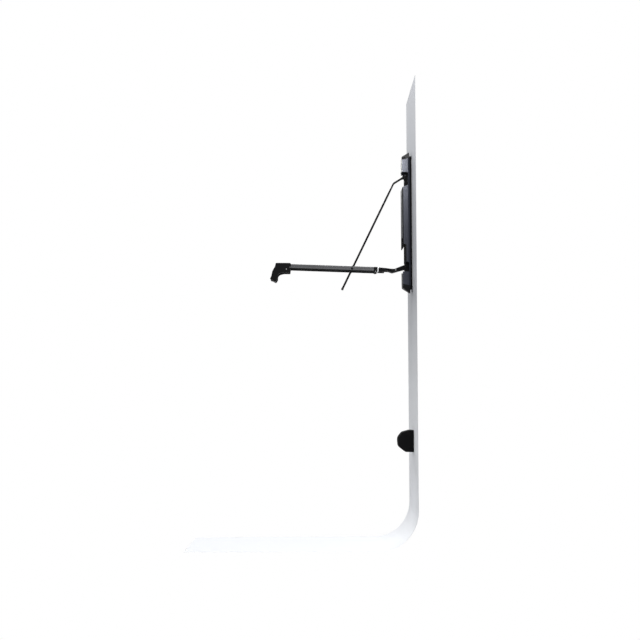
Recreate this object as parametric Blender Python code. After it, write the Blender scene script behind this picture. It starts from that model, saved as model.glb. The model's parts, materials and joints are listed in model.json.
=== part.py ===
"""Folding wall rack that holds a bicycle upright by its front wheel, with a rear tyre rest.

Units are metres and +Z is up. The wall is the plane Y = 0 and the rack stands out of it
along -Y. The origin is the middle of the wall plate's back face. Both arms are modelled
in use: the lower arm level and the wire hoop hanging under the wheel.
"""

import math

import bmesh
import bpy
from mathutils import Matrix, Vector

# Gaps between pieces that touch or turn
GAP = 0.0003
RUNNING_GAP = 0.00035

# Housing: a channel that is open to the front, with a faceted cap at each end
HALF_WIDTH = 0.052
HOUSING_FRONT = -0.0445
HOUSING_BACK = -0.0093
SIDE_BACK = -0.0175
BACK_HALF_WIDTH = 0.0475
HOUSING_WALL = 0.0026
SIDE_TOP_FRONT = 0.2858
END_RISE = 0.207
CAP_LIP = 0.0012
CAP_FRONT_RISE = 0.714
CAP_SHOULDER_DROP = 0.823
CAP_RIDGE_HEIGHT = 0.3018
CAP_FASCIA_END = 0.2355
CAP_BAR_SLOT = (0.0392, 0.0494)
CAP_SLOT_BACK = -0.0278

# Wall plate: a shallow tray that the housing is screwed to
PLATE_HALF_WIDTH = 0.040
PLATE_SIDE_END = 0.297
PLATE_END = 0.3075
PLATE_END_HALF = 0.018
PLATE_SHEET = 0.0025
PLATE_DEPTH = 0.009
WALL_SCREW_HEIGHTS = (0.285, 0.095, -0.065, -0.285)
BODY_SCREW_HEIGHTS = (0.250, 0.060, -0.120, -0.255)

# Spine: a folded steel channel that carries both hinges
SPINE_HALF = 0.028
SPINE_SHEET = 0.003
SPINE_BACK = HOUSING_BACK - HOUSING_WALL - GAP
SPINE_FLOOR = SPINE_BACK - SPINE_SHEET
SPINE_FRONT = -0.032
SPINE_END = 0.280

# Front cover: closes the channel between the two slots that the bars fold into
COVER_HALF = 0.0378
COVER_ENDS = (-0.070, 0.1570)
COVER_FRONT = HOUSING_FRONT + 0.0002
COVER_SKIN = 0.0025

# Hinges, as (Y, Z)
LOWER_PIVOT = (-0.024, -0.203)
UPPER_PIVOT = (-0.029, 0.2155)
PIN_RADIUS = 0.004
BARREL_RADIUS = 0.0084
BARREL_HALF = 0.022
LINK_HALF = 0.0195

# Lower arm: a steel link, a moulded yoke, two hollow bars and the wheel cradle at their end
ARM_SLOPE = math.radians(2.27)
BAR_INNER = 0.0405
BAR_OUTER = 0.0465
BAR_TOP = -0.0103
BAR_BOTTOM = -0.0317
BAR_WALL = 0.0015
FORK_START = -0.0700
FORK_HALF = 0.022
TONGUE_HALF = 0.0125
LINK_SCREW_AT = (-0.0755, -0.2188)
TINE_BOTTOM = -0.0293
TINE_START = 0.1022
YOKE_END = 0.1304
YOKE_WEB_END = -0.136
SPACER_END = 0.1348
PLUG_END = 0.1512
TENON_END = 0.175
TENON_HEIGHTS = (-0.0262, -0.0124)
LUG_BOTTOM = -0.0345
LUG_SCREW_UP = -0.0303
BAR_END = 0.5575
GUIDE_AT = (0.2515, -0.0207)
CRADLE_HALF = (0.0384, 0.0496)
CRADLE_SINK = 0.0482
CRADLE_SCREW_AT = (0.5515, -0.0346)

# Hoop: a bent round bar that hangs from the upper hinge and passes under the tyre
WIRE_RADIUS = 0.004
HOOP_HALF = 0.0335
HOOP_NECK = 0.0056
HOOP_SPREAD = (0.010, 0.066)
HOOP_KNEE = (-0.0797, 0.1812)
HOOP_TIP = (-0.3198, -0.3037)
HOOP_START = 0.0115
KNEE_BEND = 0.030
TIP_BEND = 0.016

# The tyre that both arms cradle, seen from the side: centre and outer radius
TYRE_CENTRE = (-0.4425, 0.0269)
TYRE_RADIUS = 0.346
SEAT_RADII = (0.3480, 0.3522)

# Rear tyre rest, screwed to the wall far below the rack
REST_MIDDLE = -0.9985
REST_HALF_WIDTH = 0.045
REST_BASE = 0.009
REST_CHANNEL_HALF = (0.030, 0.0365)

# Facets of round pieces
SCREW_SIDES = 14
PIN_SIDES = 20
SMALL_HOLE = 0.003


def clear_scene():
    """Remove every object, so that the script can run in any open file."""
    for obj in list(bpy.data.objects):
        bpy.data.objects.remove(obj, do_unlink=True)


def finish_material(name, colour, roughness, metallic):
    """A plain Principled material, made once for each name."""
    material = bpy.data.materials.get(name)
    if material is None:
        material = bpy.data.materials.new(name)
        material.use_nodes = True
        shader = material.node_tree.nodes["Principled BSDF"]
        shader.inputs["Base Color"].default_value = (*colour, 1.0)
        shader.inputs["Roughness"].default_value = roughness
        shader.inputs["Metallic"].default_value = metallic
    return material


def satin_housing():
    return finish_material("housing_satin", (0.085, 0.087, 0.098), 0.38, 0.55)


def cap_plastic():
    return finish_material("cap_plastic", (0.045, 0.047, 0.052), 0.62, 0.0)


def black_steel():
    return finish_material("black_steel", (0.014, 0.014, 0.015), 0.48, 0.35)


def bare_steel():
    return finish_material("bare_steel", (0.52, 0.53, 0.55), 0.32, 1.0)


def grey_aluminium():
    return finish_material("grey_aluminium", (0.20, 0.205, 0.215), 0.36, 0.9)


def bright_aluminium():
    return finish_material("bright_aluminium", (0.80, 0.81, 0.82), 0.25, 1.0)


def black_moulding():
    return finish_material("black_moulding", (0.020, 0.020, 0.021), 0.50, 0.0)


def black_rubber():
    return finish_material("black_rubber", (0.014, 0.014, 0.014), 0.80, 0.0)


def wire_coat():
    return finish_material("wire_coat", (0.012, 0.012, 0.013), 0.42, 0.1)


def add_object(name, mesh, material):
    """Link a mesh as an object with one material."""
    obj = bpy.data.objects.new(name, mesh)
    bpy.context.scene.collection.objects.link(obj)
    mesh.materials.clear()
    mesh.materials.append(material)
    return obj


def object_from_bmesh(name, bm, material, smooth_angle=None):
    """Turn a bmesh into an object whose faces all point out."""
    bmesh.ops.recalc_face_normals(bm, faces=bm.faces)
    mesh = bpy.data.meshes.new(name)
    bm.to_mesh(mesh)
    bm.free()
    if smooth_angle is not None:
        mesh.shade_smooth()
        mesh.set_sharp_from_angle(angle=math.radians(smooth_angle))
    return add_object(name, mesh, material)


def rounded(corners, radius, steps=4):
    """Outline of a polygon whose corners are replaced by arcs. A third value is its radius."""
    outline = []
    count = len(corners)
    for index, corner in enumerate(corners):
        here = Vector(corner[:2])
        before = Vector(corners[index - 1][:2]) - here
        after = Vector(corners[(index + 1) % count][:2]) - here
        size = corner[2] if len(corner) > 2 else radius
        angle = before.angle(after)
        if size <= 0.0 or angle > math.radians(176):
            outline.append((here.x, here.y))
            continue
        reach = min(size / math.tan(angle / 2), before.length * 0.48, after.length * 0.48)
        size = reach * math.tan(angle / 2)
        middle = here + (before.normalized() + after.normalized()).normalized() * (
            size / math.sin(angle / 2)
        )
        first = here + before.normalized() * reach - middle
        turn = (math.pi - angle) * (1 if before.x * after.y - before.y * after.x < 0 else -1)
        for step in range(steps + 1):
            spoke = first.copy()
            spoke.rotate(Matrix.Rotation(turn * step / steps, 2))
            outline.append((middle.x + spoke.x, middle.y + spoke.y))
    return outline


def arc(centre, radius, start, end, steps):
    """Points on an arc, with angles in degrees."""
    angles = [math.radians(start + (end - start) * i / steps) for i in range(steps + 1)]
    return [(centre[0] + radius * math.cos(a), centre[1] + radius * math.sin(a)) for a in angles]


def place(axis, along, a, b):
    """A point at a distance along one axis, with its two other coordinates in order."""
    if axis == "X":
        return Vector((along, a, b))
    if axis == "Y":
        return Vector((a, along, b))
    return Vector((a, b, along))


def prism_bmesh(outline, axis, low, high):
    """A bmesh of an outline pushed along an axis from low to high."""
    bm = bmesh.new()
    rings = [[bm.verts.new(place(axis, at, a, b)) for a, b in outline] for at in (low, high)]
    bm.faces.new(rings[0])
    bm.faces.new(list(reversed(rings[1])))
    count = len(outline)
    for i in range(count):
        j = (i + 1) % count
        bm.faces.new((rings[0][i], rings[1][i], rings[1][j], rings[0][j]))
    return bm


def prism(name, outline, axis, low, high, material):
    """A solid made by pushing an outline along an axis."""
    return object_from_bmesh(name, prism_bmesh(outline, axis, low, high), material)


def turned(name, profile, axis, centre, material, sides=PIN_SIDES):
    """A solid turned about an axis, from (radius, distance along the axis) points.

    A profile that comes back to its first point makes a ring with a bore.
    """
    ring = profile[0] == profile[-1]
    points = profile[:-1] if ring else profile
    bm = bmesh.new()
    rings = []
    for radius, along in points:
        circle = []
        for i in range(sides):
            angle = 2 * math.pi * (i + 0.5) / sides
            a = centre[0] + radius * math.cos(angle)
            b = centre[1] + radius * math.sin(angle)
            circle.append(bm.verts.new(place(axis, along, a, b)))
        rings.append(circle)
    pairs = list(zip(rings, rings[1:]))
    if ring:
        pairs.append((rings[-1], rings[0]))
    else:
        bm.faces.new(rings[0])
        bm.faces.new(list(reversed(rings[-1])))
    for near, far in pairs:
        for i in range(sides):
            j = (i + 1) % sides
            bm.faces.new((near[i], far[i], far[j], near[j]))
    return object_from_bmesh(name, bm, material, 40)


def combine(obj, tool, operation):
    """Combine a solid with a hidden tool by a Boolean modifier."""
    tool.hide_render = True
    tool.display_type = "WIRE"
    modifier = obj.modifiers.new(operation.lower(), "BOOLEAN")
    modifier.operation = operation
    modifier.solver = "EXACT"
    modifier.object = tool
    return obj


def cut(obj, *tools):
    for tool in tools:
        combine(obj, tool, "DIFFERENCE")
    return obj


def unite(obj, *tools):
    for tool in tools:
        combine(obj, tool, "UNION")
    return obj


def keep_common(obj, tool):
    return combine(obj, tool, "INTERSECT")


def hang_on(pivot, objects):
    """Parent objects and their Boolean tools to a pivot, without moving them."""
    tools = [m.object for obj in objects for m in obj.modifiers if m.type == "BOOLEAN"]
    for obj in objects + tools:
        if obj.parent is None:
            obj.parent = pivot
            obj.matrix_parent_inverse = Matrix.Translation(-pivot.location)


def make_pivot(name, at):
    """An empty on a joint's axis."""
    pivot = bpy.data.objects.new(name, None)
    pivot.location = (0.0, at[0], at[1])
    pivot.empty_display_size = 0.03
    bpy.context.scene.collection.objects.link(pivot)
    return pivot


def box_outline(low_a, high_a, low_b, high_b):
    return [(low_a, low_b), (high_a, low_b), (high_a, high_b), (low_a, high_b)]


def block(name, x, y, z, material=None):
    """A box between pairs of coordinates."""
    return prism(name, box_outline(*x, *y), "Z", z[0], z[1], material or black_moulding())


def round_tool(name, radius, axis, centre, low, high, sides=None):
    """A plain round cutter. Small screw holes have fewer sides than bores."""
    sides = sides or (PIN_SIDES if radius > SMALL_HOLE else SCREW_SIDES)
    return turned(name, [(radius, low), (radius, high)], axis, centre, black_steel(), sides)


def arm_point(along, up):
    """(Y, Z) of a point given along the lower arm and square to it, from its pivot."""
    y = LOWER_PIVOT[0] - along * math.cos(ARM_SLOPE) + up * math.sin(ARM_SLOPE)
    z = LOWER_PIVOT[1] + along * math.sin(ARM_SLOPE) + up * math.cos(ARM_SLOPE)
    return (y, z)


def arm_outline(low, high, bottom, top, radius=0.0, steps=3):
    """Outline, seen from the side, of a stretch of the lower arm."""
    corners = [(low, bottom), (high, bottom), (high, top), (low, top)]
    return [arm_point(a, b) for a, b in rounded(corners, radius, steps)]


def both_sides(name, builder):
    """The same piece on the right (+X) and on the left (-X)."""
    return [builder(f"{name}_right", 1), builder(f"{name}_left", -1)]


def side_range(side, inner, outer):
    low, high = sorted((side * inner, side * outer))
    return low, high


def pan_screw(name, axis, centre, head_from, head_to, tip, head_radius, shank_radius, metal):
    """A screw whose head rounds off away from its shank, with a hexagon recess."""
    rise = head_to - head_from
    profile = [
        (shank_radius * 0.7, tip),
        (shank_radius, tip + math.copysign(0.0006, rise)),
        (shank_radius, head_from),
        (head_radius, head_from),
        (head_radius, head_from + rise * 0.45),
        (head_radius * 0.82, head_from + rise * 0.85),
        (head_radius * 0.55, head_to),
    ]
    screw = turned(name, profile, axis, centre, metal, SCREW_SIDES)
    recess = round_tool(
        f"{name}_recess",
        head_radius * 0.42,
        axis,
        centre,
        *sorted((head_from + rise * 0.4, head_to + rise * 0.5)),
        sides=6,
    )
    return cut(screw, recess)


def plate_outline(inset):
    """Front view of the wall plate, drawn in by an inset."""
    half = PLATE_HALF_WIDTH - inset
    end = PLATE_END - inset
    return [
        (half, PLATE_SIDE_END - inset * 0.5),
        (PLATE_END_HALF, end),
        (-PLATE_END_HALF, end),
        (-half, PLATE_SIDE_END - inset * 0.5),
        (-half, -PLATE_SIDE_END + inset * 0.5),
        (-PLATE_END_HALF, -end),
        (PLATE_END_HALF, -end),
        (half, -PLATE_SIDE_END + inset * 0.5),
    ]


def make_wall_plate():
    """A pressed tray with screw holes and the threaded bosses for the housing."""
    plate = prism("wall_plate", plate_outline(0.0), "Y", -PLATE_DEPTH, 0.0, black_steel())
    hollow = prism(
        "wall_plate_hollow", plate_outline(PLATE_SHEET), "Y", -0.02, -PLATE_SHEET, black_steel()
    )
    cut(plate, hollow)
    for i, height in enumerate(BODY_SCREW_HEIGHTS, 1):
        boss = round_tool(
            f"wall_plate_boss_{i}", 0.009, "Y", (0, height), -PLATE_DEPTH, -PLATE_SHEET * 0.5
        )
        thread = round_tool(f"wall_plate_thread_{i}", 0.00255, "Y", (0, height), -0.02, -0.0028)
        unite(plate, boss)
        cut(plate, thread)
    for i, height in enumerate(WALL_SCREW_HEIGHTS, 1):
        hole = round_tool(f"wall_plate_hole_{i}", 0.0033, "Y", (0, height), -0.02, 0.01)
        cut(plate, hole)
    return plate


def make_wall_screws():
    """Screws that hold the plate to the wall, cut off at the wall's face."""
    return [
        pan_screw(
            f"wall_screw_{i}",
            "Y",
            (0, height),
            -PLATE_SHEET - GAP,
            -PLATE_SHEET - GAP - 0.0034,
            -0.0004,
            0.0062,
            0.0029,
            bare_steel(),
        )
        for i, height in enumerate(WALL_SCREW_HEIGHTS, 1)
    ]


def make_body_screws():
    """Screws that hold spine and housing to the plate's bosses."""
    return [
        pan_screw(
            f"body_screw_{i}",
            "Y",
            (0, height),
            SPINE_FLOOR - GAP,
            SPINE_FLOOR - GAP - 0.0032,
            -0.0034,
            0.0048,
            0.0022,
            bare_steel(),
        )
        for i, height in enumerate(BODY_SCREW_HEIGHTS, 1)
    ]


def housing_section(outer):
    """Plan section of the housing's skin, outer or inner face, from the right front corner."""
    inset = 0.0 if outer else HOUSING_WALL
    front = HOUSING_FRONT
    half = HALF_WIDTH - inset
    side_back = SIDE_BACK + inset * 0.25
    back = HOUSING_BACK - inset
    back_half = BACK_HALF_WIDTH - inset * 0.6
    return [
        (half, front),
        (half, side_back),
        (back_half, back),
        (-back_half, back),
        (-half, side_back),
        (-half, front),
    ]


def slant_ends(bm, middle_low, middle_high):
    """Slope the end faces of a solid made along Z, as the housing's ends are."""
    for vert in bm.verts:
        rise = END_RISE * (vert.co.y - HOUSING_FRONT)
        vert.co.z += rise if vert.co.z > (middle_low + middle_high) / 2 else -rise


def make_housing():
    """The channel: two side walls and a back, with windows in the walls for both hinges."""
    outline = housing_section(True) + list(reversed(housing_section(False)))
    bm = prism_bmesh(outline, "Z", -SIDE_TOP_FRONT, SIDE_TOP_FRONT)
    slant_ends(bm, -SIDE_TOP_FRONT, SIDE_TOP_FRONT)
    housing = object_from_bmesh("housing", bm, satin_housing())
    upper = rounded(
        [(-0.06, 0.1520), (-0.0178, 0.1700), (-0.0178, 0.2287), (-0.06, 0.2287)], 0.004
    )
    upper_window = prism("housing_upper_window", upper, "X", -0.06, 0.06, satin_housing())
    lower = rounded(
        [
            (-0.060, -0.2290),
            (-0.0150, -0.2290),
            *arc((-0.0238, -0.1925), 0.0088, 0, 135, 6),
            (-0.0322, -0.1878),
            (-0.0322, -0.1020, 0.004),
            (-0.0415, -0.1020, 0.001),
            (-0.0430, -0.1210),
            (-0.060, -0.1210),
        ],
        0.0,
    )
    lower_window = prism("housing_lower_window", lower, "X", -0.06, 0.06, satin_housing())
    cut(housing, upper_window, lower_window)
    for i, height in enumerate(BODY_SCREW_HEIGHTS, 1):
        hole = round_tool(f"housing_hole_{i}", 0.0026, "Y", (0, height), -0.014, -0.004)
        cut(housing, hole)
    return housing


def facet_tool(name, corner, normal):
    """A large block on the outer side of a slanted plane, for cutting a facet."""
    bm = bmesh.new()
    bmesh.ops.create_cube(bm, size=0.3)
    bmesh.ops.translate(bm, verts=bm.verts, vec=(0, 0, 0.15))
    turn = Vector((0, 0, 1)).rotation_difference(Vector(normal)).to_matrix().to_4x4()
    bmesh.ops.transform(bm, matrix=Matrix.Translation(corner) @ turn, verts=bm.verts)
    return object_from_bmesh(name, bm, cap_plastic())


def make_cap(name, end, fascia_to, with_slots):
    """A faceted end cap. end is +1 at the top and -1 at the bottom."""
    outline = housing_section(True)
    base = SIDE_TOP_FRONT + GAP
    bm = prism_bmesh(outline, "Z", base, 0.345)
    for vert in bm.verts:
        if vert.co.z < 0.3:
            vert.co.z += END_RISE * (vert.co.y - HOUSING_FRONT)
    for vert in bm.verts:
        vert.co.z *= end
    cap = object_from_bmesh(name, bm, cap_plastic())
    edge_height = SIDE_TOP_FRONT + CAP_LIP
    facets = [
        facet_tool(
            f"{name}_front_facet",
            (0, HOUSING_FRONT, end * CAP_RIDGE_HEIGHT),
            (0, -CAP_FRONT_RISE, end),
        )
    ]
    for side in (1, -1):
        facets.append(
            facet_tool(
                f"{name}_shoulder_{'right' if side > 0 else 'left'}",
                (side * HALF_WIDTH, HOUSING_FRONT, end * edge_height),
                (side * CAP_SHOULDER_DROP, -END_RISE, end),
            )
        )
    cut(cap, *facets)
    inner = SPINE_SHEET + GAP
    plug = block(
        f"{name}_plug",
        (-SPINE_HALF + inner, SPINE_HALF - inner),
        (SPINE_FRONT, SPINE_FLOOR - 0.004),
        sorted((end * 0.262, end * 0.292)),
    )
    fascia = block(
        f"{name}_fascia",
        (-CAP_BAR_SLOT[0], CAP_BAR_SLOT[0]),
        (HOUSING_FRONT, HOUSING_FRONT + 0.003),
        sorted((end * fascia_to, end * 0.292)),
    )
    web = block(
        f"{name}_web",
        (-SPINE_HALF + inner, SPINE_HALF - inner),
        (HOUSING_FRONT + 0.001, SPINE_FRONT + 0.001),
        sorted((end * 0.262, end * 0.292)),
    )
    unite(cap, plug, web, fascia)
    if with_slots:
        for side in (1, -1):
            slot = block(
                f"{name}_slot_{'right' if side > 0 else 'left'}",
                side_range(side, *CAP_BAR_SLOT),
                (-0.06, CAP_SLOT_BACK),
                sorted((end * 0.25, end * 0.34)),
            )
            cut(cap, slot)
    return cap


def make_spine():
    """A channel that is open to the front. Its flanges are the ears of both hinges."""
    floor = prism(
        "spine",
        box_outline(-SPINE_HALF, SPINE_HALF, SPINE_FLOOR, SPINE_BACK),
        "Z",
        -SPINE_END,
        SPINE_END,
        black_steel(),
    )
    ear = arc(UPPER_PIVOT, 0.0115, 255, 105, 6)
    flange = [
        (SPINE_FLOOR + 0.001, -SPINE_END),
        (SPINE_FRONT, -SPINE_END),
        *ear,
        (SPINE_FRONT, SPINE_END),
        (SPINE_FLOOR + 0.001, SPINE_END),
    ]
    for side in (1, -1):
        word = "right" if side > 0 else "left"
        low, high = side_range(side, SPINE_HALF - SPINE_SHEET, SPINE_HALF)
        unite(floor, prism(f"spine_flange_{word}", flange, "X", low, high, black_steel()))
    pin_hole = PIN_RADIUS + RUNNING_GAP
    cut(
        floor,
        round_tool("spine_lower_hole", pin_hole, "X", LOWER_PIVOT, -0.04, 0.04),
        round_tool("spine_upper_hole", pin_hole, "X", UPPER_PIVOT, -0.04, 0.04),
    )
    for i, height in enumerate(BODY_SCREW_HEIGHTS, 1):
        cut(floor, round_tool(f"spine_hole_{i}", 0.0026, "Y", (0, height), -0.025, -0.005))
    return floor


def make_front_cover():
    """A plain strip with turned-in edges that closes the front between the bars' slots."""
    low, high = COVER_ENDS
    back = SPINE_FRONT - GAP
    section = rounded(
        [
            (-COVER_HALF, back, 0.0),
            (-COVER_HALF, COVER_FRONT, 0.002),
            (COVER_HALF, COVER_FRONT, 0.002),
            (COVER_HALF, back, 0.0),
            (COVER_HALF - COVER_SKIN, back, 0.0),
            (COVER_HALF - COVER_SKIN, COVER_FRONT + COVER_SKIN, 0.001),
            (-COVER_HALF + COVER_SKIN, COVER_FRONT + COVER_SKIN, 0.001),
            (-COVER_HALF + COVER_SKIN, back, 0.0),
        ],
        0.0,
        2,
    )
    cover = prism("front_cover", section, "Z", low, high, cap_plastic())
    for side in (1, -1):
        word = "right" if side > 0 else "left"
        rib = block(
            f"front_cover_rib_{word}",
            side_range(side, SPINE_HALF - SPINE_SHEET, SPINE_HALF),
            (COVER_FRONT + 0.001, back),
            (low + 0.004, high - 0.004),
        )
        unite(cover, rib)
    for i, height in enumerate((low + 0.004, (low + high) / 2, high - 0.004), 1):
        shelf = block(
            f"front_cover_shelf_{i}",
            (-COVER_HALF + 0.001, COVER_HALF - 0.001),
            (COVER_FRONT + 0.001, back),
            (height - 0.001, height + 0.001),
        )
        unite(cover, shelf)
    return cover


def make_edge_trims():
    """Black trims inside the walls, along the top edge of the lower windows."""
    outline = rounded(
        [
            (-0.0443, -0.0960, 0.0),
            (-0.0355, -0.0960, 0.0),
            (-0.0355, -0.1135, 0.002),
            (-0.0415, -0.1150, 0.0),
            (-0.0430, -0.1185, 0.0),
            (-0.0443, -0.1185, 0.0),
        ],
        0.0,
        2,
    )

    def trim(name, side):
        inner_wall = HALF_WIDTH - HOUSING_WALL - GAP
        low, high = side_range(side, inner_wall - 0.0013, inner_wall)
        return prism(name, outline, "X", low, high, black_moulding())

    return both_sides("window_trim", trim)


def make_lower_hinge():
    """Pin, clip, side washers and the rubber block that the arm's heel rests on."""
    pin = turned(
        "lower_hinge_pin",
        [
            (PIN_RADIUS * 0.8, -0.0312),
            (PIN_RADIUS, -0.0304),
            (PIN_RADIUS, SPINE_HALF + GAP),
            (0.0065, SPINE_HALF + GAP),
            (0.0065, 0.0298),
            (0.0055, 0.0306),
        ],
        "X",
        LOWER_PIVOT,
        black_steel(),
    )
    bore = PIN_RADIUS + RUNNING_GAP
    clip = turned(
        "lower_pin_clip",
        [(bore, -0.0297), (0.0072, -0.0297), (0.0072, -0.0284), (bore, -0.0284), (bore, -0.0297)],
        "X",
        LOWER_PIVOT,
        black_steel(),
    )

    def washer(name, side):
        low, high = side_range(side, BARREL_HALF + GAP, SPINE_HALF - SPINE_SHEET - GAP)
        profile = [(bore, low), (0.0082, low), (0.0082, high), (bore, high), (bore, low)]
        return turned(name, profile, "X", LOWER_PIVOT, bright_aluminium())

    washers = both_sides("lower_hinge_washer", washer)
    stop_face = SPINE_FLOOR - GAP - 0.0042
    stop = prism(
        "arm_stop_block",
        rounded(box_outline(stop_face, SPINE_FLOOR - GAP, -0.2245, -0.2125), 0.001, 2),
        "X",
        -0.020,
        0.020,
        black_rubber(),
    )
    return [pin, clip, stop, *washers]


def make_upper_hinge():
    """The axle that carries both ends of the hoop, with a flat head outside each flange."""
    face = SPINE_HALF + GAP
    return turned(
        "upper_hinge_axle",
        [
            (0.0060, -face - 0.0034),
            (0.0070, -face - 0.0026),
            (0.0070, -face),
            (PIN_RADIUS, -face),
            (PIN_RADIUS, face),
            (0.0070, face),
            (0.0070, face + 0.0026),
            (0.0060, face + 0.0034),
        ],
        "X",
        UPPER_PIVOT,
        black_steel(),
    )


def make_fold_pads():
    """Rubber pads behind the folded bars, in the slots of the top cap."""

    def pad(name, side):
        low, high = side_range(side, 0.0410, 0.0466)
        outline = rounded(box_outline(-0.0335, CAP_SLOT_BACK - GAP, 0.288, 0.2945), 0.0012, 2)
        return prism(name, outline, "X", low, high, black_rubber())

    return both_sides("fold_pad", pad)


def tongue_outline(grow):
    """Side view of the tongue that joins link and yoke, grown by a gap for its socket."""
    return [
        (-0.0660, -0.2118 + grow),
        (-0.0800, -0.2166 + grow),
        (-0.0970 - grow, -0.2166 + grow),
        (-0.0970 - grow, -0.2265 - grow),
        (-0.0840, -0.2265 - grow),
        (-0.0660, -0.2215 - grow),
    ]


def make_hinge_link():
    """The cranked steel link that turns on the lower pin and ends in a tongue."""
    outline = rounded(
        [
            (-0.0240, -0.1942, 0.0),
            (-0.0350, -0.1962, 0.004),
            (-0.0617, -0.2060, 0.0),
            (FORK_START + GAP, -0.2096, 0.0),
            (FORK_START + GAP, -0.2262, 0.0),
            (-0.0636, -0.2245, 0.0),
            (-0.0360, -0.2172, 0.002),
            (-0.0330, -0.2225, 0.002),
            (-0.0201, -0.2225, 0.0012),
            (-0.0201, -0.2060, 0.0),
        ],
        0.0,
        3,
    )
    link = prism("arm_hinge_link", outline, "X", -LINK_HALF, LINK_HALF, black_steel())
    tongue = prism(
        "arm_hinge_link_tongue", tongue_outline(0.0), "X", -TONGUE_HALF, TONGUE_HALF, black_steel()
    )
    barrel = round_tool(
        "arm_hinge_link_barrel", BARREL_RADIUS, "X", LOWER_PIVOT, -BARREL_HALF, BARREL_HALF, 24
    )
    unite(link, tongue, barrel)
    bore = PIN_RADIUS + RUNNING_GAP
    cut(
        link,
        round_tool("arm_hinge_link_bore", bore, "X", LOWER_PIVOT, -0.05, 0.05),
        round_tool("arm_hinge_link_hole", 0.0019, "X", LINK_SCREW_AT, -0.05, 0.05),
    )
    return link


def make_link_screw(name, side):
    """A screw from the yoke's side into the link's tongue."""
    head = FORK_HALF + GAP
    return pan_screw(
        name,
        "X",
        LINK_SCREW_AT,
        side * head,
        side * (head + 0.0018),
        side * 0.004,
        0.0031,
        0.0016,
        bare_steel(),
    )


def make_yoke():
    """The moulded fork that is screwed to the link's tongue and carries the two bars."""
    outline = rounded(
        [
            (FORK_START, -0.2096, 0.0),
            (-0.0800, -0.2140, 0.014),
            (-0.1226, -0.2125, 0.0),
            (arm_point(YOKE_END, BAR_TOP - 0.0008)[0], -0.2093, 0.001),
            (*arm_point(YOKE_END, TINE_BOTTOM), 0.001),
            (*arm_point(TINE_START, TINE_BOTTOM), 0.001),
            (-0.1238, -0.2222, 0.002),
            (-0.1080, -0.2247, 0.010),
            (-0.0916, -0.2320, 0.008),
            (FORK_START, -0.2262, 0.0),
        ],
        0.0,
        3,
    )
    yoke = prism("arm_yoke", outline, "X", -0.06, 0.06, black_moulding())
    wide = BAR_OUTER + 0.0006
    cheek = BAR_INNER - 0.0021
    plan_half = [
        (FORK_HALF, -0.060, 0.0),
        (FORK_HALF, -0.098, 0.012),
        (wide, -0.121, 0.010),
        (wide, -0.165, 0.0),
        (cheek, -0.165, 0.0),
        (cheek, YOKE_WEB_END, 0.005),
    ]
    plan = [(x, y, r) for x, y, r in plan_half] + [(-x, y, r) for x, y, r in reversed(plan_half)]
    plan_tool = prism("arm_yoke_plan", rounded(plan, 0.0, 4), "Z", -0.26, -0.16, black_moulding())
    keep_common(yoke, plan_tool)
    for side in (1, -1):
        word = "right" if side > 0 else "left"
        tenon = prism(
            f"arm_yoke_tenon_{word}",
            arm_outline(YOKE_END - 0.004, TENON_END, *TENON_HEIGHTS),
            "X",
            *side_range(side, BAR_INNER + BAR_WALL + GAP, BAR_OUTER - BAR_WALL - GAP),
            black_moulding(),
        )
        unite(yoke, tenon)
        for row, (near, far) in enumerate(((0.0015, 0.0140), (0.0165, 0.0290)), 1):
            pocket = block(
                f"arm_yoke_pocket_{word}_{row}",
                side_range(side, near, far),
                (-0.1320, -0.1130),
                (-0.24, -0.2160),
            )
            cut(yoke, pocket)
    socket = tongue_outline(GAP)
    # The socket's mouth runs on past the yoke's face
    socket[0] = (-0.0600, socket[0][1] + 0.0020)
    socket[-1] = (-0.0600, socket[-1][1] + 0.0016)
    half = TONGUE_HALF + GAP
    cut(
        yoke,
        prism("arm_yoke_socket", socket, "X", -half, half, black_moulding()),
        round_tool("arm_yoke_hole", 0.0019, "X", LINK_SCREW_AT, -0.05, 0.05),
    )
    return yoke


def hollow_stretch(name, low, high, side, grow, material, radius=0.0012):
    """A hollow length of the arm with the bar's section, grown a little on its outside."""
    body = prism(
        name,
        arm_outline(low, high, BAR_BOTTOM - grow, BAR_TOP + grow),
        "X",
        *side_range(side, BAR_INNER - grow, BAR_OUTER + grow),
        material,
    )
    inside = prism(
        f"{name}_hollow",
        arm_outline(low - 0.01, high + 0.01, BAR_BOTTOM + BAR_WALL, BAR_TOP - BAR_WALL),
        "X",
        *side_range(side, BAR_INNER + BAR_WALL, BAR_OUTER - BAR_WALL),
        material,
    )
    bevel = body.modifiers.new("edges", "BEVEL")
    bevel.width = radius
    bevel.segments = 2
    bevel.limit_method = "ANGLE"
    bevel.angle_limit = math.radians(60)
    return cut(body, inside)


def make_bar(name, side):
    """A hollow aluminium bar with a shallow groove along its outer face."""
    bar = hollow_stretch(name, PLUG_END + GAP, BAR_END, side, 0.0, grey_aluminium(), 0.0011)
    middle = (BAR_TOP + BAR_BOTTOM) / 2
    groove = prism(
        f"{name}_groove",
        arm_outline(PLUG_END - 0.01, BAR_END + 0.01, middle - 0.0022, middle + 0.0022),
        "X",
        *side_range(side, BAR_OUTER - 0.0007, BAR_OUTER + 0.01),
        grey_aluminium(),
    )
    cut(bar, groove)
    hole = round_tool(f"{name}_hole", 0.0023, "X", arm_point(*GUIDE_AT), *side_range(side, 0.03, 0.06))
    return cut(bar, hole)


def make_spacer(name, side):
    """A bright ring between the yoke and the bar's end plug."""
    return hollow_stretch(name, YOKE_END + GAP, SPACER_END, side, 0.0, bright_aluminium(), 0.0006)


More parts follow.
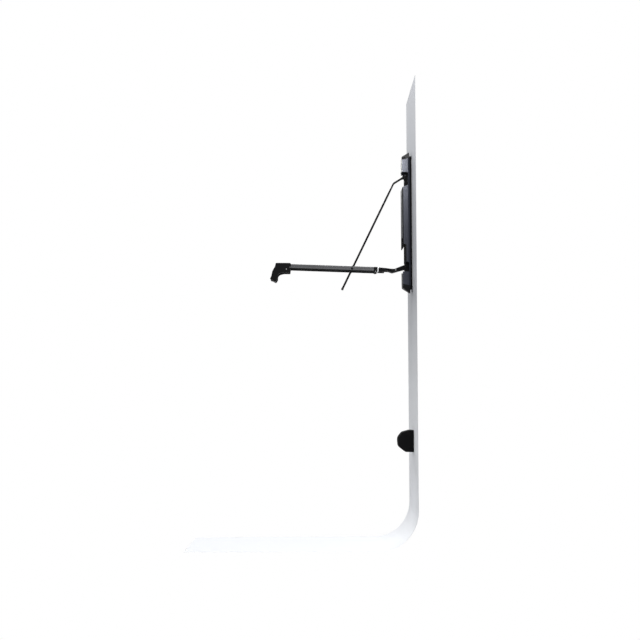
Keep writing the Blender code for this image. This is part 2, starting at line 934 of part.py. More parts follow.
def make_plug(name, side):
    """The black end piece of a bar, with a lug below for its clamp screw."""
    low, high = SPACER_END + GAP, PLUG_END
    grow = 0.0004
    plug = prism(
        name,
        arm_outline(low, high, BAR_BOTTOM - grow, BAR_TOP + grow),
        "X",
        *side_range(side, BAR_INNER - grow, BAR_OUTER + grow),
        black_moulding(),
    )
    bevel = plug.modifiers.new("edges", "BEVEL")
    bevel.width = 0.0008
    bevel.segments = 2
    bevel.limit_method = "ANGLE"
    bevel.angle_limit = math.radians(60)
    lug = prism(
        f"{name}_lug",
        arm_outline(low + 0.0022, high - 0.0022, LUG_BOTTOM, BAR_BOTTOM + 0.0007, 0.0025),
        "X",
        *side_range(side, BAR_INNER + 0.0004, BAR_OUTER + 0.0002),
        black_moulding(),
    )
    unite(plug, lug)
    bore = prism(
        f"{name}_bore",
        arm_outline(low - 0.01, high + 0.01, TENON_HEIGHTS[0] - GAP, TENON_HEIGHTS[1] + GAP),
        "X",
        *side_range(side, BAR_INNER + BAR_WALL, BAR_OUTER - BAR_WALL),
        black_moulding(),
    )
    centre = arm_point((SPACER_END + PLUG_END) / 2, LUG_SCREW_UP)
    hole = round_tool(f"{name}_hole", 0.0017, "X", centre, *side_range(side, 0.03, 0.06))
    return cut(plug, bore, hole)


def make_plug_screw(name, side):
    """The small screw that closes the lug of an end plug."""
    head = BAR_OUTER + 0.0004 + GAP
    return pan_screw(
        name,
        "X",
        arm_point((SPACER_END + PLUG_END) / 2, LUG_SCREW_UP),
        side * head,
        side * (head + 0.0016),
        side * (BAR_INNER + 0.0006),
        0.0026,
        0.0013,
        bare_steel(),
    )


def make_guide_bolt(name, side):
    """The low round bolt head on a bar where the hoop's leg crosses it."""
    head = BAR_OUTER - 0.0007 + GAP
    profile = [
        (0.0016, side * (BAR_INNER - 0.0021)),
        (0.0019, side * (BAR_INNER - 0.0018)),
        (0.0019, side * head),
        (0.0021, side * head),
        (0.0021, side * (BAR_OUTER + GAP)),
        (0.0050, side * (BAR_OUTER + GAP)),
        (0.0050, side * (BAR_OUTER + 0.0012)),
        (0.0038, side * (BAR_OUTER + 0.0021)),
    ]
    return turned(name, profile, "X", arm_point(*GUIDE_AT), black_steel())


def make_guide_plate(name, side):
    """A plastic plate that keeps the hoop's leg off the bar. It lies along the leg."""
    leg = Vector((HOOP_TIP[0] - HOOP_KNEE[0], HOOP_TIP[1] - HOOP_KNEE[1])).normalized()
    across = Vector((-leg.y, leg.x))
    centre = Vector(arm_point(*GUIDE_AT))
    half, reach = 0.0065, 0.0085
    ends = arc((reach, 0.0), half, -90, 90, 6) + arc((-reach, 0.0), half, 90, 270, 6)
    outline = [tuple(centre + leg * a + across * b) for a, b in ends]
    low, high = side_range(side, BAR_INNER - 0.0022, BAR_INNER - GAP)
    plate = prism(name, outline, "X", low, high, black_moulding())
    hole = round_tool(f"{name}_hole", 0.0023, "X", tuple(centre), *side_range(side, 0.03, 0.05))
    return cut(plate, hole)


def tyre_point(angle, radius):
    """(Y, Z) at an angle in degrees from straight down, outwards from the wall."""
    a = math.radians(angle)
    return (TYRE_CENTRE[0] - radius * math.sin(a), TYRE_CENTRE[1] - radius * math.cos(a))


def tyre_arc(radius, start, end, steps):
    return [tyre_point(start + (end - start) * i / steps, radius) for i in range(steps + 1)]


def make_cradle():
    """Two cheeks beside the tyre, whose legs join under it in a curved seat."""
    cheek = rounded(
        [
            (-0.5558, -0.1875, 0.005),
            (-0.6245, -0.1868, 0.004),
            (-0.6285, -0.2030, 0.012),
            (-0.6405, -0.2240, 0.020),
            (-0.6455, -0.2475, 0.020),
            (-0.6525, -0.2615, 0.004),
            (-0.6235, -0.2695, 0.003),
            (-0.6176, -0.2595, 0.004),
            (-0.6166, -0.2440, 0.012),
            (-0.6080, -0.2345, 0.010),
            (-0.5880, -0.2300, 0.008),
            (-0.5600, -0.2305, 0.004),
            (-0.5578, -0.2095, 0.001),
            (-0.5628, -0.2095, 0.001),
            (-0.5628, -0.2025, 0.001),
            (-0.5558, -0.2025, 0.001),
        ],
        0.003,
        3,
    )
    inner, outer = CRADLE_HALF
    cradle = prism("wheel_cradle", cheek, "X", inner, outer, black_moulding())
    left = prism("wheel_cradle_left_cheek", cheek, "X", -outer, -inner, black_moulding())
    near, far = SEAT_RADII
    seat = tyre_arc(near, 31.4, 35.4, 4) + tyre_arc(far, 35.1, 31.8, 4)
    bridge = prism("wheel_cradle_bridge", seat, "X", -outer + 0.001, outer - 0.001, black_moulding())
    unite(cradle, bridge, left)
    for side in (1, -1):
        word = "right" if side > 0 else "left"
        socket = prism(
            f"wheel_cradle_socket_{word}",
            arm_outline(0.50, BAR_END + GAP, BAR_BOTTOM - GAP, BAR_TOP + GAP),
            "X",
            *side_range(side, BAR_INNER - GAP, BAR_OUTER + GAP),
            black_moulding(),
        )
        centre = arm_point(*CRADLE_SCREW_AT)
        hole = round_tool(f"wheel_cradle_hole_{word}", 0.0018, "X", centre, *side_range(side, 0.037, 0.06))
        sink = round_tool(
            f"wheel_cradle_sink_{word}", 0.0032, "X", centre, *side_range(side, CRADLE_SINK, 0.06)
        )
        cut(cradle, socket, hole, sink)
    return cradle


def make_cradle_screw(name, side):
    """The pinch screw that closes a cheek on the bar, just below it."""
    return pan_screw(
        name,
        "X",
        arm_point(*CRADLE_SCREW_AT),
        side * (CRADLE_SINK + GAP),
        side * (CRADLE_SINK + GAP + 0.0012),
        side * 0.0388,
        0.0028,
        0.0015,
        bare_steel(),
    )


def make_cradle_pad():
    """The rubber lining of the cradle's seat."""
    outline = tyre_arc(TYRE_RADIUS, 31.6, 35.2, 4) + tyre_arc(SEAT_RADII[0] - GAP, 35.2, 31.6, 4)
    half = CRADLE_HALF[0] - 0.0008
    return prism("cradle_pad", outline, "X", -half, half, black_rubber())


def hoop_path():
    """Centre line of the hoop: its wires run side by side to the knee and spread past it."""
    to_knee = Vector((HOOP_KNEE[0] - UPPER_PIVOT[0], HOOP_KNEE[1] - UPPER_PIVOT[1]))
    start = Vector(UPPER_PIVOT) + to_knee.normalized() * HOOP_START
    side_view = rounded(
        [(start.x, start.y, 0.0), (*HOOP_KNEE, KNEE_BEND), (*HOOP_TIP, 0.0)], 0.0, 5
    )
    leg = [Vector((HOOP_NECK, y, z)) for y, z in side_view[:-1]]
    knee = Vector((0, *HOOP_KNEE))
    tip = Vector((HOOP_HALF, *HOOP_TIP))
    along = Vector((0, knee.y - tip.y, knee.z - tip.z)).normalized()
    first, last = HOOP_SPREAD
    steps = 8
    for step in range(steps + 1):
        share = step / steps
        point = knee - along * (first + (last - first) * share)
        point.x = HOOP_NECK + (HOOP_HALF - HOOP_NECK) * share * share * (3 - 2 * share)
        leg.append(point)
    corner = []
    for step in range(7):
        angle = math.pi / 2 * step / 6
        inwards = TIP_BEND * (1 - math.cos(angle))
        back = TIP_BEND * (1 - math.sin(angle))
        corner.append(tip + along * back + Vector((-inwards, 0, 0)))
    right = leg + corner
    left = [Vector((-p.x, p.y, p.z)) for p in reversed(right)]
    return right + left


def make_hoop():
    """The bent round bar of the upper arm."""
    points = hoop_path()
    curve = bpy.data.curves.new("wheel_hoop", "CURVE")
    curve.dimensions = "3D"
    curve.bevel_depth = WIRE_RADIUS
    curve.bevel_resolution = 3
    curve.render_resolution_u = 0
    curve.use_fill_caps = True
    spline = curve.splines.new("POLY")
    spline.points.add(len(points) - 1)
    for target, point in zip(spline.points, points):
        target.co = (*point, 1.0)
    curve.materials.append(wire_coat())
    hoop = bpy.data.objects.new("wheel_hoop", curve)
    bpy.context.scene.collection.objects.link(hoop)
    return hoop


def make_hoop_sleeve():
    """The rubber sleeve on the hoop's cross piece, under the tyre."""
    bore = WIRE_RADIUS + GAP
    half = 0.0165
    profile = [
        (bore, -half),
        (0.0052, -half),
        (0.0056, -half + 0.001),
        (0.0056, half - 0.001),
        (0.0052, half),
        (bore, half),
        (bore, -half),
    ]
    return turned("hoop_sleeve", profile, "X", HOOP_TIP, black_rubber(), 20)


def make_knuckle(name, side):
    """A moulded eye that turns on the upper axle and holds one end of the hoop."""
    low, high = side_range(side, 0.0004, SPINE_HALF - SPINE_SHEET - 0.0006)
    knuckle = turned(
        name,
        [(0.0092, low), (0.0100, low + 0.0008), (0.0100, high - 0.0008), (0.0092, high)],
        "X",
        UPPER_PIVOT,
        black_moulding(),
        24,
    )
    to_knee = Vector((HOOP_KNEE[0] - UPPER_PIVOT[0], HOOP_KNEE[1] - UPPER_PIVOT[1])).normalized()
    turn = Vector((0, 0, 1)).rotation_difference(Vector((0, to_knee.x, to_knee.y)))
    pivot = Vector((side * HOOP_NECK, *UPPER_PIVOT))
    place_tool = Matrix.Translation(pivot) @ turn.to_matrix().to_4x4()
    socket = turned(
        f"{name}_socket",
        [(0.0048, 0.004), (0.0050, 0.0175), (0.0046, 0.0185)],
        "Z",
        (0, 0),
        black_moulding(),
        20,
    )
    socket.data.transform(place_tool)
    seat = round_tool(f"{name}_seat", WIRE_RADIUS + GAP, "Z", (0, 0), HOOP_START - GAP, 0.03, 20)
    seat.data.transform(place_tool)
    unite(knuckle, socket)
    bore = PIN_RADIUS + RUNNING_GAP
    reach = side_range(side, -0.01, 0.03)
    cut(knuckle, seat, round_tool(f"{name}_bore", bore, "X", UPPER_PIVOT, *reach))
    return knuckle


def make_tyre_rest():
    """A moulded channel on the wall for the rear tyre, hollow at the back of each cheek."""
    bottom = -0.0520
    top = 0.0468
    profile = rounded(
        [
            (0.0, bottom, 0.0),
            (0.0, top, 0.0),
            (-0.0200, top, 0.010),
            (-0.0520, 0.0385, 0.022),
            (-0.0728, 0.0130, 0.030),
            (-0.0700, -0.0270, 0.024),
            (-0.0385, bottom, 0.016),
        ],
        0.0,
        5,
    )
    outline = [(y, REST_MIDDLE + z) for y, z in profile]
    rest = prism("tyre_rest", outline, "X", -REST_HALF_WIDTH, REST_HALF_WIDTH, black_moulding())
    edge = rest.modifiers.new("edges", "BEVEL")
    edge.width = 0.0022
    edge.segments = 2
    edge.limit_method = "ANGLE"
    edge.angle_limit = math.radians(60)
    near, far = REST_CHANNEL_HALF
    channel = [(near, -REST_BASE), (far, -0.09), (-far, -0.09), (-near, -REST_BASE)]
    low, high = REST_MIDDLE - 0.06, REST_MIDDLE + 0.06
    cut(rest, prism("tyre_rest_channel", channel, "Z", low, high, black_moulding()))
    for side in (1, -1):
        word = "right" if side > 0 else "left"
        pocket = rounded(
            box_outline(-0.040, 0.01, REST_MIDDLE - 0.036, REST_MIDDLE + 0.036), 0.006, 3
        )
        low, high = side_range(side, 0.0350, 0.0420)
        cut(rest, prism(f"tyre_rest_pocket_{word}", pocket, "X", low, high, black_moulding()))
    for i, height in enumerate((0.034, -0.034), 1):
        hole = round_tool(f"tyre_rest_hole_{i}", 0.0026, "Y", (0, REST_MIDDLE + height), -0.02, 0.01)
        sink = round_tool(f"tyre_rest_sink_{i}", 0.0056, "Y", (0, REST_MIDDLE + height), -0.02, -0.0055)
        cut(rest, hole, sink)
    return rest


def make_tyre_rest_pad():
    """A ribbed rubber pad at the bottom of the rest's channel."""
    floor = -REST_BASE - GAP
    ribs = []
    count = 9
    pitch = 0.0052
    for i in range(count):
        x = (i - (count - 1) / 2) * pitch
        ribs += [(x - 0.0016, floor - 0.0022), (x - 0.0010, floor - 0.0038)]
        ribs += [(x + 0.0010, floor - 0.0038), (x + 0.0016, floor - 0.0022)]
    half = 0.0265
    section = [(-half, floor), (-half, floor - 0.0022), *ribs, (half, floor - 0.0022), (half, floor)]
    low, high = REST_MIDDLE - 0.026, REST_MIDDLE + 0.026
    return prism("tyre_rest_pad", section, "Z", low, high, black_rubber())


def make_tyre_rest_screws():
    return [
        pan_screw(
            f"tyre_rest_screw_{i}",
            "Y",
            (0, REST_MIDDLE + height),
            -0.0055 - GAP,
            -0.0055 - GAP - 0.0030,
            -0.0004,
            0.0050,
            0.0022,
            bare_steel(),
        )
        for i, height in enumerate((0.034, -0.034), 1)
    ]


def build():
    clear_scene()
    lower_pivot = make_pivot("lower_arm_pivot", LOWER_PIVOT)
    upper_pivot = make_pivot("upper_arm_pivot", UPPER_PIVOT)
    make_wall_plate()
    make_wall_screws()
    make_body_screws()
    make_housing()
    make_cap("top_cap", 1, CAP_FASCIA_END, True)
    make_cap("bottom_cap", -1, 0.2365, False)
    make_spine()
    make_front_cover()
    make_edge_trims()
    make_lower_hinge()
    make_upper_hinge()
    make_fold_pads()
    make_tyre_rest()
    make_tyre_rest_pad()
    make_tyre_rest_screws()
    lower_arm = [make_hinge_link(), make_yoke(), make_cradle(), make_cradle_pad()]
    lower_arm += both_sides("link_screw", make_link_screw)
    lower_arm += both_sides("arm_bar", make_bar)
    lower_arm += both_sides("arm_spacer", make_spacer)
    lower_arm += both_sides("bar_end_plug", make_plug)
    lower_arm += both_sides("end_plug_screw", make_plug_screw)
    lower_arm += both_sides("guide_bolt", make_guide_bolt)
    lower_arm += both_sides("guide_plate", make_guide_plate)
    lower_arm += both_sides("cradle_screw", make_cradle_screw)
    hang_on(lower_pivot, lower_arm)
    upper_arm = [make_hoop(), make_hoop_sleeve()]
    upper_arm += both_sides("hoop_knuckle", make_knuckle)
    hang_on(upper_pivot, upper_arm)


build()
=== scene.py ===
# %% [markdown]
# # A folding wall rack
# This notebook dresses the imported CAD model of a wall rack: a slim metal body with a back plate, a
# lower arm with two bars and a moulded cradle, a hanging hoop of round bar, and a separate rest far
# below. The solids come from CAD and stay where they are. What is made here is what the eye needs
# on top of them: soft edges, finishes with a real surface, a rounder hoop, a few small pieces, and
# the studio.

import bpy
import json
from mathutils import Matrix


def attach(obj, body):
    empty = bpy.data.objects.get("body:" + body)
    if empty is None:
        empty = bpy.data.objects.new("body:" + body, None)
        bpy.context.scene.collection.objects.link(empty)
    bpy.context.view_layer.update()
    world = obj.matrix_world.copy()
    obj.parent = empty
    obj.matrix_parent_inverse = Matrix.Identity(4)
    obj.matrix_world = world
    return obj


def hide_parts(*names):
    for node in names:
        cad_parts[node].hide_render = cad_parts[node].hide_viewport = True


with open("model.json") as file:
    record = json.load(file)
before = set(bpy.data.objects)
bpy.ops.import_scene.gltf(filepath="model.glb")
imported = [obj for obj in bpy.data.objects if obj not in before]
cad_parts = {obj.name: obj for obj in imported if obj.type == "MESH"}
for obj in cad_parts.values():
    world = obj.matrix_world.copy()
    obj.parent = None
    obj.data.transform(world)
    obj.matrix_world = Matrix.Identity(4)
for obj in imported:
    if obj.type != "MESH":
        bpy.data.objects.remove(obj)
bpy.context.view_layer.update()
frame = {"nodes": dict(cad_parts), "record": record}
nodes = frame["nodes"]

# %% [markdown]
# ## The camera
# The photograph is taken from the rack's right side with a long lens, a little from below. The
# camera stands lower than the arms and looks up by about three degrees. It is also turned by a
# quarter of a degree, because the photograph leans by that much.

# %% Make the camera
import json
import math

import bmesh
import bpy
from mathutils import Euler, Matrix, Vector

CAMERA_AT = Vector((6.0, -0.4237, -0.7861))
CAMERA_RISE = 3.24
CAMERA_TURN = -0.26
LENS_MM = 73.575
SENSOR_MM = 36.0
NEAREST = 0.05
FARTHEST = 60.0

lens = bpy.data.cameras.new("side_camera")
lens.lens = LENS_MM
lens.sensor_width = SENSOR_MM
lens.clip_start = NEAREST
lens.clip_end = FARTHEST
camera = bpy.data.objects.new("side_camera", lens)
bpy.context.scene.collection.objects.link(camera)
aim = Euler((math.radians(90.0 + CAMERA_RISE), 0.0, math.radians(90.0))).to_matrix().to_4x4()
roll = Matrix.Rotation(math.radians(CAMERA_TURN), 4, "Z")
camera.matrix_world = Matrix.Translation(CAMERA_AT) @ aim @ roll
bpy.context.scene.camera = camera
print("camera", round((CAMERA_AT - Vector((0.0, -0.3, -0.2))).length, 2), "m from the rack")

# %% [markdown]
# ## Meshes from points
# Most new pieces are built from rings of points. One helper turns points and faces into an object,
# turns its faces outwards, and shades the mesh smooth up to a chosen angle.

# %% A helper that makes an object from points and faces
def mesh_object(name, points, faces, smooth_angle):
    bm = bmesh.new()
    verts = [bm.verts.new(p) for p in points]
    for face in faces:
        bm.faces.new([verts[i] for i in face])
    bmesh.ops.recalc_face_normals(bm, faces=bm.faces)
    mesh = bpy.data.meshes.new(name)
    bm.to_mesh(mesh)
    bm.free()
    mesh.shade_smooth()
    mesh.set_sharp_from_angle(angle=math.radians(smooth_angle))
    obj = bpy.data.objects.new(name, mesh)
    bpy.context.scene.collection.objects.link(obj)
    return obj


print("mesh helper ready")

# %% [markdown]
# ## The studio
# A rack that hangs needs something to hang on. One pale sheet stands behind it and bends into a
# curved corner and a floor, as in a display stand. A sheet with a thickness would hide the rack's
# back in views from behind, so the sheet is single and its material is clear from the back. It also
# has an opening behind each black foot of the rack, so that the light reaches their back faces in
# those views.

# %% Bend one sheet into back, corner and floor
WALL_HALF = 0.30
WALL_TOP = 0.62
FLOOR_AT = -1.467
FLOOR_REACH = -1.02
CORNER = 0.17
CORNER_STEPS = 12
WALL_GAP = 0.0006
SHEET_SMOOTH = 40

OPENING_HALF = 0.036
OPENINGS = ((0.292, -0.292), (-0.957, -1.041))

heights = [WALL_TOP] + [height for opening in OPENINGS for height in opening]
profile = [(WALL_GAP, height) for height in heights]
for step in range(CORNER_STEPS + 1):
    angle = math.radians(90.0 * step / CORNER_STEPS)
    outwards = WALL_GAP - CORNER * (1 - math.cos(angle))
    profile.append((outwards, FLOOR_AT + CORNER * (1 - math.sin(angle))))
profile.append((FLOOR_REACH, FLOOR_AT))
columns = (-WALL_HALF, -OPENING_HALF, OPENING_HALF, WALL_HALF)
sheet_points = [(x, y, z) for y, z in profile for x in columns]
sheet_faces = []
across = len(columns)
for row in range(len(profile) - 1):
    behind_foot = profile[row][1] in [top for top, bottom in OPENINGS]
    for column in range(across - 1):
        first = across * row + column
        if not (behind_foot and column == 1):
            sheet_faces.append((first, first + across, first + across + 1, first + 1))
studio_sheet = mesh_object("studio_sheet", sheet_points, sheet_faces, SHEET_SMOOTH)
if studio_sheet.data.polygons[0].normal.y > 0:
    studio_sheet.data.flip_normals()
print("studio sheet with", len(sheet_faces), "faces and", len(OPENINGS), "openings behind the feet")

# %% [markdown]
# ## Light
# Product photographs use large soft lights. The main one hangs over the rack, so that faces that
# look up are brightest and the light fades towards the foot. Another hangs above the rack's top on
# the camera's side: a flat glossy side mirrors it at the top and less and less further down, which
# is the bright fall-off along the body. A third lights the far side, and a broad one in front fills
# the arms. None of them is seen by the camera.

# %% Hang the soft lights
def soft_light(name, at, target, size, power):
    data = bpy.data.lights.new(name, "AREA")
    data.shape = "RECTANGLE"
    data.size, data.size_y = size
    data.energy = power
    lamp = bpy.data.objects.new(name, data)
    lamp.location = at
    lamp.rotation_euler = (Vector(target) - Vector(at)).to_track_quat("-Z", "Y").to_euler()
    lamp.visible_camera = False
    bpy.context.scene.collection.objects.link(lamp)
    print(name, "gives", power, "W over", round(size[0] * size[1], 2), "square metres")


soft_light("overhead_light", (0.60, -0.45, 1.55), (0.0, -0.15, 0.10), (1.2, 0.9), 20.0)
soft_light("high_side_light", (1.9, 0.10, 0.76), (0.0, -0.02, 0.25), (0.7, 0.55), 32.0)
soft_light("far_side_light", (-2.1, -0.5, 1.0), (0.0, -0.2, 0.0), (1.2, 0.9), 30.0)
soft_light("front_light", (0.5, -2.9, 0.9), (0.0, -0.1, -0.3), (1.8, 1.4), 24.0)

# %% [markdown]
# The world is the soft rest of the studio. Its lighting is weak, and weaker from below than from
# above, so that the lamps shape the object. To the camera and in reflections it is plain white, as
# the photograph's background is.

# %% Make the white surroundings
ROOM_LEVELS = (0.08, 0.50)
ROOM_HEIGHTS = (-0.5, 0.7)
WHITE = (1.0, 1.0, 1.0, 1.0)

world = bpy.data.worlds.new("white_studio")
world.use_nodes = True
bpy.context.scene.world = world
bpy.context.scene.view_settings.view_transform = "Standard"
room = world.node_tree
room.nodes.clear()
path = room.nodes.new("ShaderNodeLightPath")
seen = room.nodes.new("ShaderNodeMath")
seen.operation = "MAXIMUM"
mirrored = room.nodes.new("ShaderNodeMath")
mirrored.operation = "MAXIMUM"
direction = room.nodes.new("ShaderNodeTexCoord")
rise = room.nodes.new("ShaderNodeSeparateXYZ")
soft = room.nodes.new("ShaderNodeMapRange")
soft.inputs["From Min"].default_value, soft.inputs["From Max"].default_value = ROOM_HEIGHTS
soft.inputs["To Min"].default_value, soft.inputs["To Max"].default_value = ROOM_LEVELS
level = room.nodes.new("ShaderNodeMapRange")
level.inputs["To Max"].default_value = 1.0
glow = room.nodes.new("ShaderNodeBackground")
glow.inputs["Color"].default_value = WHITE
end = room.nodes.new("ShaderNodeOutputWorld")
room.links.new(path.outputs["Is Camera Ray"], seen.inputs[0])
room.links.new(path.outputs["Is Glossy Ray"], mirrored.inputs[0])
room.links.new(path.outputs["Is Transmission Ray"], mirrored.inputs[1])
room.links.new(mirrored.outputs[0], seen.inputs[1])
room.links.new(direction.outputs["Generated"], rise.inputs[0])
room.links.new(rise.outputs["Z"], soft.inputs["Value"])
room.links.new(soft.outputs["Result"], level.inputs["To Min"])
room.links.new(seen.outputs[0], level.inputs["Value"])
room.links.new(level.outputs["Result"], glow.inputs["Strength"])
room.links.new(glow.outputs[0], end.inputs["Surface"])
print("surroundings light at", ROOM_LEVELS, "and look white")

# %% [markdown]
# ## Shader maths that reads like maths
# A finish is a tree of nodes, and wiring sums by hand hides what they mean. The small class below
# wraps a socket, so that `1 - mask` or `mask * 0.2 + 0.4` adds the Math nodes itself. Any other
# node comes from one method, which takes its kind, its settings and its inputs.

# %% Sockets that can be added and multiplied
class Field:
    """A node's output that takes part in sums."""

    def __init__(self, finish, socket):
        self.finish = finish
        self.socket = socket

    def maths(self, operation, first, second):
        return self.finish.node("ShaderNodeMath", {"operation": operation}, {0: first, 1: second})

    def __add__(self, other):
        return self.maths("ADD", self, other)

    def __mul__(self, other):
        return self.maths("MULTIPLY", self, other)

    def __sub__(self, other):
        return self.maths("SUBTRACT", self, other)

    def __rsub__(self, other):
        return self.maths("SUBTRACT", other, self)

    __radd__ = __add__
    __rmul__ = __mul__

    def between(self, low, high):
        """0 below low, 1 above high and smooth in between."""
        settings = {"interpolation_type": "SMOOTHSTEP"}
        inputs = {"Value": self, "From Min": low, "From Max": high}
        return self.finish.node("ShaderNodeMapRange", settings, inputs)


print("fields add, subtract and multiply")

# %% [markdown]
# A finish holds one Principled shader. Its helpers are the few patterns that rack parts need: a
# grain of noise, a mask of the edges, which carries wear and painted edge highlights, a mask of the
# faces that collect dust, and a bump.

# %% One class for every finish
class Finish:
    """One material for a maker's finish. Numbers that are the same all over sit on the shader."""

    def __init__(self, name, **fixed):
        self.material = bpy.data.materials.new(name)
        self.material.use_nodes = True
        self.tree = self.material.node_tree
        self.tree.nodes.clear()
        self.shader = self.tree.nodes.new("ShaderNodeBsdfPrincipled")
        self.end = self.tree.nodes.new("ShaderNodeOutputMaterial")
        self.tree.links.new(self.shader.outputs[0], self.end.inputs["Surface"])
        for key, value in fixed.items():
            self.shader.inputs[key.replace("_", " ")].default_value = value
        self.place = self.node("ShaderNodeTexCoord", {}, {}, "Object")

    def node(self, kind, settings, inputs, output=0):
        made = self.tree.nodes.new(kind)
        for key, value in settings.items():
            setattr(made, key, value)
        self.wire(made, inputs)
        return Field(self, made.outputs[output])

    def wire(self, made, inputs):
        for key, value in inputs.items():
            if isinstance(value, Field):
                self.tree.links.new(value.socket, made.inputs[key])
            else:
                made.inputs[key].default_value = value

    def along(self, axis):
        """How far a point lies along X, Y or Z, in metres."""
        return self.node("ShaderNodeSeparateXYZ", {}, {0: self.place}, axis)

    def noise(self, scale, detail=2.0, stretch=(1.0, 1.0, 1.0)):
        """Noise of that many cells to the metre. A small stretch draws it out along its axis."""
        settings = {"operation": "MULTIPLY"}
        where = self.node("ShaderNodeVectorMath", settings, {0: self.place, 1: stretch})
        inputs = {"Vector": where, "Scale": scale, "Detail": detail}
        return self.node("ShaderNodeTexNoise", {}, inputs)

    def mix(self, mask, low, high):
        """Two colours mixed by a mask."""
        return self.node("ShaderNodeMix", {"data_type": "RGBA"}, {0: mask, 6: low, 7: high}, 2)

    def bump(self, height, depth):
        """A bump of that many metres."""
        inputs = {"Height": height, "Distance": depth, "Strength": 1.0}
        return self.node("ShaderNodeBump", {}, inputs)

    def upward(self):
        """1 where a face looks up, where dust settles."""
        normal = self.node("ShaderNodeNewGeometry", {}, {}, "Normal")
        rise = self.node("ShaderNodeSeparateXYZ", {}, {0: normal}, "Z")
        return rise.between(0.35, 0.95)

    def edges(self, radius):
        """1 close to an edge: a rounded normal differs there from the real one."""
        soft = self.node("ShaderNodeBevel", {"samples": 4}, {"Radius": radius})
        real = self.node("ShaderNodeNewGeometry", {}, {}, "Normal")
        settings = {"operation": "DOT_PRODUCT"}
        same = self.node("ShaderNodeVectorMath", settings, {0: soft, 1: real}, "Value")
        return (1 - same).between(0.01, 0.22)

    def surface(self, **inputs):
        self.wire(self.shader, {key.replace("_", " "): value for key, value in inputs.items()})
        return self.material


print("finish class ready")

# %% [markdown]
# ## Satin graphite coat of the housing
# The long body is a bent metal channel with a sprayed satin coat. Such a coat has a fine orange
# peel, is a little cloudy in its gloss, and wears to a lighter line where a bar touches an edge.

# %% Spray the housing
COAT_TONES = ((0.029, 0.032, 0.045, 1.0), (0.035, 0.038, 0.052, 1.0))
RUBBED_COAT = (0.13, 0.13, 0.14, 1.0)


def satin_coat():
    coat = Finish("satin_graphite_coat", Metallic=0.25, Specular_IOR_Level=0.22)
    cloud = coat.noise(14.0, 3.0)
    peel = coat.noise(1400.0, 2.0)
    scuff = coat.noise(90.0, 4.0, (1.0, 1.0, 0.35)).between(0.52, 0.70)
    rubbed = coat.edges(0.0012) * scuff
    base = coat.mix(cloud, *COAT_TONES)
    base = coat.mix(rubbed * 0.35, base, RUBBED_COAT)
    rough = 0.20 + cloud * 0.05 + peel * 0.04 + coat.upward() * 0.10
    return coat.surface(Base_Color=base, Roughness=rough, Normal=coat.bump(peel, 0.00004))


satin = satin_coat()
print("made", satin.name)

# %% [markdown]
# ## Spark-textured plastic
# Both end caps and the front cover are injection moulded. A mould is spark eroded to hide flow
# marks, which leaves an even, pebbled, matt surface. A touch of dust lies on its upper faces. A
# lighter colour along every edge is a painted edge highlight. The caps are moulded in black, and the
# cover in the graphite of the housing that it closes.

# %% Mould the caps and the cover
CAP_TONES = ((0.0055, 0.0058, 0.0070, 1.0), (0.0085, 0.0088, 0.0100, 1.0))
COVER_TONES = ((0.022, 0.024, 0.034, 1.0), (0.027, 0.029, 0.040, 1.0))
PLASTIC_DUST = (0.15, 0.15, 0.15, 1.0)
PLASTIC_PAINTED_EDGE_HIGHLIGHT = (0.13, 0.13, 0.14, 1.0)


def spark_plastic(name, tones):
    plastic = Finish(name, Metallic=0.0, Specular_IOR_Level=0.09)
    pebble = plastic.noise(2200.0, 3.0)
    cloud = plastic.noise(20.0, 2.0)
    base = plastic.mix(cloud, *tones)
    base = plastic.mix(plastic.upward() * 0.25, base, PLASTIC_DUST)
    # Painted edge highlight: a lighter colour along every edge.
    base = plastic.mix(plastic.edges(0.0008) * 0.25, base, PLASTIC_PAINTED_EDGE_HIGHLIGHT)
    rough = 0.46 + pebble * 0.14
    return plastic.surface(Base_Color=base, Roughness=rough, Normal=plastic.bump(pebble, 0.00006))


caps = spark_plastic("spark_textured_black", CAP_TONES)
cover = spark_plastic("spark_textured_graphite", COVER_TONES)
print("made", caps.name, "and", cover.name)

# %% [markdown]
# ## Black powder coat
# The wall plate, the spine and the hinge pins carry load, so they are steel under a black powder
# coat. Powder melts into a finer and glossier peel than plastic, with chips on its sharp edges.

# %% Powder coat the steel
POWDER_TONES = ((0.0020, 0.0020, 0.0025, 1.0), (0.0034, 0.0034, 0.0040, 1.0))
CHIPPED_STEEL = (0.24, 0.24, 0.25, 1.0)


def powder_coat():
    powder = Finish("black_powder_coat", Metallic=0.0, Specular_IOR_Level=0.05)
    peel = powder.noise(1700.0, 2.0)
    cloud = powder.noise(25.0, 2.0)
    chipped = powder.edges(0.0007) * powder.noise(260.0, 3.0).between(0.60, 0.68)
    base = powder.mix(cloud, *POWDER_TONES)
    base = powder.mix(chipped, base, CHIPPED_STEEL)
    rough = 0.42 + peel * 0.14 + powder.upward() * 0.12
    return powder.surface(Base_Color=base, Roughness=rough, Normal=powder.bump(peel, 0.00005))


powder_steel = powder_coat()
print("made", powder_steel.name)

# %% [markdown]
# ## Zinc-plated screws
# Screws are cold headed and plated. This is a dark plating, not a bright one: in the photograph
# the heads are grey dots. The passivation leaves a slight yellow and blue cast, so the colour moves
# a little and so does the gloss. The same finish in a darker tone is blued steel, for axle ends.

# %% Plate the screws
ZINC_TONES = ((0.21, 0.22, 0.24, 1.0), (0.27, 0.265, 0.25, 1.0))
BLUED_TONES = ((0.020, 0.021, 0.026, 1.0), (0.030, 0.030, 0.034, 1.0))


def plated(name, tones):
    steel = Finish(name, Metallic=0.9)
    cast = steel.noise(420.0, 2.0)
    fine = steel.noise(5200.0, 2.0)
    base = steel.mix(cast, *tones)
    rough = 0.40 + cast * 0.10 + fine * 0.08
    return steel.surface(Base_Color=base, Roughness=rough, Normal=steel.bump(fine, 0.00001))


zinc_steel = plated("zinc_plate", ZINC_TONES)
blued_steel = plated("blued_steel", BLUED_TONES)
print("made", zinc_steel.name, "and", blued_steel.name)
